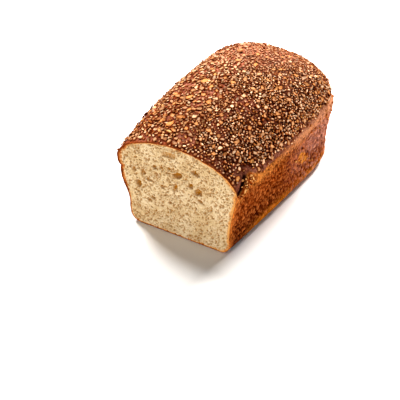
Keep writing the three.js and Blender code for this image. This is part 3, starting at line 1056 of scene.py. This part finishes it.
def joined(name, middles, axes, flakes, tints):
    """Many small flakes as one mesh, each set at its middle along its axes, with painted shade on their
    undersides and rims, strongest on the right.
    """
    shapes, triangles, light = flakes
    points = np.einsum("nij,nkj->nki", axes, shapes) + middles[:, None]
    count, each = points.shape[:2]
    everything = (triangles[None] + each * np.arange(count)[:, None, None]).reshape(-1, 3)
    piece = mesh_object(name, points.reshape(-1, 3), everything, False)
    shade_strength = lerp(*SIDE_SHADE_STRENGTH, shaded_side(middles))
    paint(piece, (tints[:, None, :] * light[None] ** shade_strength[:, None, None]).reshape(-1, 3))
    return piece


GRAIN_CREAM = colour(252, 214, 178)
GRAIN_GOLD = colour(228, 168, 118)
GRAIN_OCHRE = colour(224, 158, 84)
GRAIN_PINK = colour(206, 148, 110)
GRAIN_TAN = colour(146, 66, 16)
GRAIN_TOASTED = colour(84, 22, 0)
OAT_GOLD = colour(214, 148, 90)
BRAN_BROWN = colour(130, 58, 22)
LEFT_TONE = np.array([0.96, 1.1, 1.18])  # of flakes on the left, beside the same on the right

# Mixed into the grain's gold: a colour, then its swing and what is taken off, on the left and the right.
# On the right more flakes turn cream and more toasted: their tone, and partly painted highlight and shade.
GRAIN_MIX = (
    (GRAIN_PINK, (1.2, 1.2), (0.5, 0.8)),
    (GRAIN_OCHRE, (1.4, 1.8), (0.9, 0.8)),
    (GRAIN_TAN, (1.1, 0.9), (0.2, 0.5)),
    (GRAIN_TOASTED, (1.4, 2.2), (0.9, 1.2)),
    (GRAIN_CREAM, (1.5, 3.4), (1.0, 1.25)),
)

# Coatings over that mix, and where they lie.
# painted light: flakes paler towards the back on the left, in cream
BACK_PAINTED_LIGHT = (GRAIN_CREAM, 0.22, 0.0)
BACK_PINK = (colour(208, 146, 112), 0.8, 0.0)
STRAY_TOASTED = (GRAIN_TOASTED, -5.3, 6.0)
# painted shade: flakes at the front of the dark right take the toasted colour
FRONT_RIGHT_SHADE = (GRAIN_TOASTED, -1.0, 1.85)
# painted shade: flakes low on the left and at the far end take a tan colour
OUTER_SHADE = (GRAIN_TAN, 0.6, 0.0)
LOW_HONEY = (colour(244, 190, 118), -0.4, 1.6)
BACK_LIGHT_RUN = (-70, 20)
PINK_RUN = (0, 45)
FRONT_SHADE_RUN = (-10, -70)
OUTER_SHADE_LEFT = (-48, -60)
LOW_GRAIN = (4, -2)
LOW_RIGHT = (0, 30)


def grain_tints(spots, rng):
    """One colour for each flake: golden on the left, cream and toasted on the right with painted highlight
    and shade, honey on the wall, with painted light at the back left and painted shade at the front right
    and outer sides.
    """
    x, y, _ = spots.T
    count = len(spots)
    right = shaded_side(spots)
    tints = np.tile(GRAIN_GOLD, (count, 1))
    for tone, swing, less in GRAIN_MIX:
        tints = blend(tints, tone, lerp(*swing, right) * rng.random(count) - lerp(*less, right))
    tints = coat(tints, BACK_PAINTED_LIGHT, smoothstep(*BACK_LIGHT_RUN, y) * (1 - right))
    tints = coat(tints, BACK_PINK, smoothstep(*PINK_RUN, y) * (1 - right))
    tints = coat(tints, STRAY_TOASTED, 1, rng.random(count))
    tints = coat(tints, FRONT_RIGHT_SHADE, right * smoothstep(*FRONT_SHADE_RUN, y), rng.random(count))
    tints = coat(tints, OUTER_SHADE, np.maximum(smoothstep(*OUTER_SHADE_LEFT, x), shade_far_and_left(spots)))
    tints = np.clip(tints * lerp(LEFT_TONE, 1, right[:, None]), 0, 1)
    low = smoothstep(*LOW_GRAIN, above_lip(spots)) * smoothstep(*LOW_RIGHT, x)
    tints = blend(tints, OAT_GOLD, low)
    return coat(tints, LOW_HONEY, low, rng.random(count))


# Forms of flakes: corners, rings of points inside the edge, crinkles, and rise of the curled ends.
FORMS = {
    "oat": (9, (0.5, 0.93), 0.45, (0.0, 0.12)),
    "chip": (7, (0.55, 0.93), 0.25, (-0.1, 0.4)),
    "bran": (5, (0.9,), 0.25, (0.0, 0.1)),
}

# Pairs are the least and the most, or left and right for swell, lift and tilt. Thicknesses are halves.
OAT_THICKNESS = 0.45
OAT_ROOM = 0.75  # room that an oat flake keeps, beside its half width
OAT_GOLDEN = (0.1, 1.0)  # least and most share of gold in an oat flake's colour
CHIP_TRIES = 90000
CHIP_HALF = (1.0, 2.6)
CHIP_FINENESS = 1.4  # higher makes more of the chips small
CHIP_ASPECT = (0.42, 0.82)
CHIP_THICKNESS = (0.28, 0.5)
CHIP_SWELL = (1, 1.6)  # thickness beside the thickness drawn
CHIP_LIFT = (0.7, 0.5)
CHIP_TILT = (0.65, 0.8)
BRAN_TRIES = 14000
BRAN_HALF = (0.4, 0.9)
BRAN_SHAPE = (1.0, 0.7, 0.4)  # half length, width and thickness, beside the size drawn
BRAN_LIFT = 0.1
BRAN_TILT = 0.7


def add_oats(points, skin, place, room, rng):
    """The oat flakes, the solid's own among them, and the circles that they cover."""
    parts = solid_flakes(), large_flakes(points, vertex_normals(points, skin), place)
    middles, axes, sizes = (np.concatenate(pair) for pair in zip(*parts))
    for spot, size in zip(middles, sizes):
        room.add(spot, OAT_ROOM * size[1])
    sizes = np.concatenate([sizes, np.full((len(sizes), 1), OAT_THICKNESS)], axis=1)
    golden = np.concatenate([lerp(*OAT_GOLDEN, rng.random(FLAKE_COUNT)), np.ones(len(LARGE_FLAKES))])
    tints = blend(grain_tints(middles, rng), OAT_GOLD, golden)
    flakes = flake_shapes(sizes, *FORMS["oat"], rng)
    oats = joined("oat_flakes", middles, axes, flakes, tints)
    return oats, np.column_stack([middles, sizes[:, :2].mean(axis=1)])


def add_chips(points, skin, chance, room, rng):
    """The chips of cracked grain, and the circles that they cover."""
    half = lerp(*CHIP_HALF, rng.random(CHIP_TRIES) ** CHIP_FINENESS)
    spots, normals, half = scatter(points, skin, chance, half, room, rng)
    right = right_share(spots)
    width = half * rng.uniform(*CHIP_ASPECT, len(half))
    thickness = rng.uniform(*CHIP_THICKNESS, len(half)) * lerp(*CHIP_SWELL, right)
    sizes = np.stack([half, width, thickness], axis=1)
    lifted = spots + normals * lerp(*CHIP_LIFT, right)[:, None]
    axes = lying_axes(normals, lerp(*CHIP_TILT, right), rng)
    flakes = flake_shapes(sizes, *FORMS["chip"], rng)
    chips = joined("cracked_grain", lifted, axes, flakes, grain_tints(spots, rng))
    return chips, np.column_stack([spots, (half + width) / 2])


def add_bran(points, skin, chance, room, rng):
    """The bran, in what room is left."""
    half = rng.uniform(*BRAN_HALF, BRAN_TRIES)
    spots, normals, half = scatter(points, skin, chance, half, room, rng)
    sizes = half[:, None] * BRAN_SHAPE
    tints = blend(grain_tints(spots, rng), BRAN_BROWN, rng.random(len(half)))
    flakes = flake_shapes(sizes, *FORMS["bran"], rng)
    axes = lying_axes(normals, np.full(len(half), BRAN_TILT), rng)
    return joined("bran", spots + normals * BRAN_LIFT, axes, flakes, tints)


def topping(points, skin, place, rng):
    """The flakes, chips and bran on the dome, one piece for each kind, and what the larger ones cover."""
    chance = topping_cover(points[skin].mean(axis=1), place[skin].mean(axis=1))
    room = Room()
    oats, under_oats = add_oats(points, skin, place, room, rng)
    chips, under_chips = add_chips(points, skin, chance, room, rng)
    bran = add_bran(points, skin, chance, room, rng)
    return oats, chips, bran, np.concatenate([under_oats, under_chips])


SHADE_WIDTH = 1.1  # the crust is dark this far round a flake
UNDER_FLAKE = (0.4, 0.16, 0.04)  # how light it is there
BACK_SHADE = 0.4  # how much of that darkness the far end has
BACK_SHADE_RUN = (0, 50)


def shaded(tints, points, covers):
    """The crust's tints, darkened under its flakes and close round them."""
    tree = kdtree.KDTree(len(points))
    for number, point in enumerate(points):
        tree.insert(point, number)
    tree.balance()
    shade = np.zeros(len(tints))
    for x, y, z, radius in covers:
        near = tree.find_range((x, y, z), radius + SHADE_WIDTH)
        numbers = [number for _, number, _ in near]
        distances = np.array([distance for _, _, distance in near])
        dark = 1 - smoothstep(radius, radius + SHADE_WIDTH, distances)
        dark *= lerp(1, BACK_SHADE, smoothstep(*BACK_SHADE_RUN, y))
        shade[numbers] = np.maximum(shade[numbers], dark)
    return blend(tints, tints * UNDER_FLAKE, shade)


# Materials: roughness, then size and strength of the mottling, then size and depth of the bumps.
MATERIALS = {
    "crust": (0.7, 1.3, 0.4, 1.2, 0.8),
    "crumb": (0.9, 1.1, 0.12, 0.9, 0.5),
    "oat": (0.6, 0.9, 0.2, 0.6, 0.15),
    "cracked_grain": (0.5, 0.8, 0.15, 0.6, 0.1),
    "bran": (0.65, 0.6, 0.2, 0.4, 0.1),
}
GLOSS = 0.0
MOTTLE_DETAIL = 3.0
MOTTLE_RANGE = (0.3, 0.7)  # values of the noise between which the mottling runs
BUMP_DETAIL = 4.0


def put(node, **values):
    """Sets a shader node's inputs, with _ for each space in their names."""
    for name, value in values.items():
        node.inputs[name.replace("_", " ")].default_value = value


def painted_material(name, roughness, mottle_size, mottle_share, bump_size, bump_depth):
    """A material that reads the piece's painted colours, mottles them finely and roughens the surface."""
    material = bpy.data.materials.new(name)
    material.use_nodes = True
    nodes = material.node_tree.nodes
    links = material.node_tree.links
    place = nodes.new("ShaderNodeTexCoord")

    def noise_of(size, detail):
        pattern = nodes.new("ShaderNodeTexNoise")
        put(pattern, Scale=1 / (size * MM), Detail=detail)
        links.new(place.outputs["Object"], pattern.inputs["Vector"])
        return pattern.outputs["Fac"]

    shader = nodes["Principled BSDF"]
    put(shader, Roughness=roughness, Specular_IOR_Level=GLOSS)
    tint = nodes.new("ShaderNodeVertexColor")
    tint.layer_name = "tint"
    level = nodes.new("ShaderNodeMapRange")
    put(level, From_Min=MOTTLE_RANGE[0], From_Max=MOTTLE_RANGE[1])
    put(level, To_Min=1 - mottle_share, To_Max=1 + mottle_share)
    links.new(noise_of(mottle_size, MOTTLE_DETAIL), level.inputs["Value"])
    shade = nodes.new("ShaderNodeVectorMath")
    shade.operation = "SCALE"
    links.new(tint.outputs["Color"], shade.inputs[0])
    links.new(level.outputs["Result"], shade.inputs["Scale"])
    links.new(shade.outputs["Vector"], shader.inputs["Base Color"])
    bump = nodes.new("ShaderNodeBump")
    put(bump, Distance=bump_depth * MM)
    links.new(noise_of(bump_size, BUMP_DETAIL), bump.inputs["Height"])
    links.new(bump.outputs["Normal"], shader.inputs["Normal"])
    return material


# Stage

CAMERA_AZIMUTH = 31.97
CAMERA_ELEVATION = 36.0
CAMERA_EYE = (0.72037, -1.21354, 1.00299)
CAMERA_LENS = 171.0
SENSOR_WIDTH = 36.0
LIGHT_AIM = Vector((0, 0, 0.05))
FLOOR_SIZE = 6.0
FLOOR_TONE = (0.9, 0.9, 0.9, 1)
FLOOR_ROUGHNESS = 0.9
SKY_TONE = (1, 1, 1, 1)
SKY = 0.12

# Lights: direction to the camera's right, towards it and up, then distance, size, power and tone.
LIGHTS = {
    "key": ((-0.45, -0.58, 0.68), 1.6, 0.4, 42.0, (1.0, 0.97, 0.93)),
    "rear": ((0.45, -0.57, 0.69), 1.6, 0.4, 47.0, (1.0, 0.97, 0.93)),
    "fill": ((-0.35, 0.93, 0.14), 1.8, 0.8, 22.0, (1.0, 0.98, 0.95)),
}


def add_camera():
    """Adds the camera, and gives the level directions to its right and towards it."""
    azimuth = math.radians(CAMERA_AZIMUTH)
    elevation = math.radians(CAMERA_ELEVATION)
    right = Vector((math.cos(azimuth), math.sin(azimuth), 0))
    level = Vector((math.sin(azimuth), -math.cos(azimuth), 0))
    back = level * math.cos(elevation) + Vector((0, 0, math.sin(elevation)))
    data = bpy.data.cameras.new("camera")
    data.sensor_width = SENSOR_WIDTH
    data.lens = CAMERA_LENS
    camera = linked("camera", data)
    turned = Matrix((right, back.cross(right), back)).transposed().to_4x4()
    camera.matrix_world = Matrix.Translation(CAMERA_EYE) @ turned
    bpy.context.scene.camera = camera
    return right, level


def add_light(name, position, size, power, tone):
    data = bpy.data.lights.new(name, "AREA")
    data.shape = "DISK"
    data.size = size
    data.energy = power
    data.color = tone
    light = linked(name, data)
    light.location = position
    light.rotation_euler = (LIGHT_AIM - position).to_track_quat("-Z", "Y").to_euler()


def add_floor():
    corners = FLOOR_SIZE / MM / 2 * np.array([(-1, -1, 0), (1, -1, 0), (1, 1, 0), (-1, 1, 0)])
    floor = mesh_object("floor", corners, np.array([(0, 1, 2), (0, 2, 3)]), False)
    material = bpy.data.materials.new("floor")
    material.use_nodes = True
    put(material.node_tree.nodes["Principled BSDF"], Base_Color=FLOOR_TONE, Roughness=FLOOR_ROUGHNESS)
    floor.data.materials.append(material)


def add_stage():
    right, level = add_camera()
    up = Vector((0, 0, 1))
    for name, (direction, distance, size, power, tone) in LIGHTS.items():
        towards = right * direction[0] + level * direction[1] + up * direction[2]
        add_light(name, towards.normalized() * distance, size, power, tone)
    add_floor()
    world = bpy.data.worlds.new("studio")
    world.use_nodes = True
    put(world.node_tree.nodes["Background"], Color=SKY_TONE, Strength=SKY)
    bpy.context.scene.world = world
    bpy.context.scene.view_settings.view_transform = "Standard"


def main():
    rng = np.random.default_rng(SEED)
    crust, points, skin, place, outline, tints = crust_body()
    crumb = crumb_body(outline, rng)
    oats, chips, bran, covers = topping(points, skin, place, rng)
    paint(crust, shaded(tints, points, covers))
    for piece, name in zip((crust, crumb, oats, chips, bran), MATERIALS):
        piece.data.materials.append(painted_material(name, *MATERIALS[name]))
    slots = ((crust, "crust"), (crumb, "crumb"), (oats, "grain"), (chips, "grain"), (bran, "grain"))
    for piece, slot in slots:
        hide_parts("loaf")
        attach(piece, "root")
    add_stage()


main()
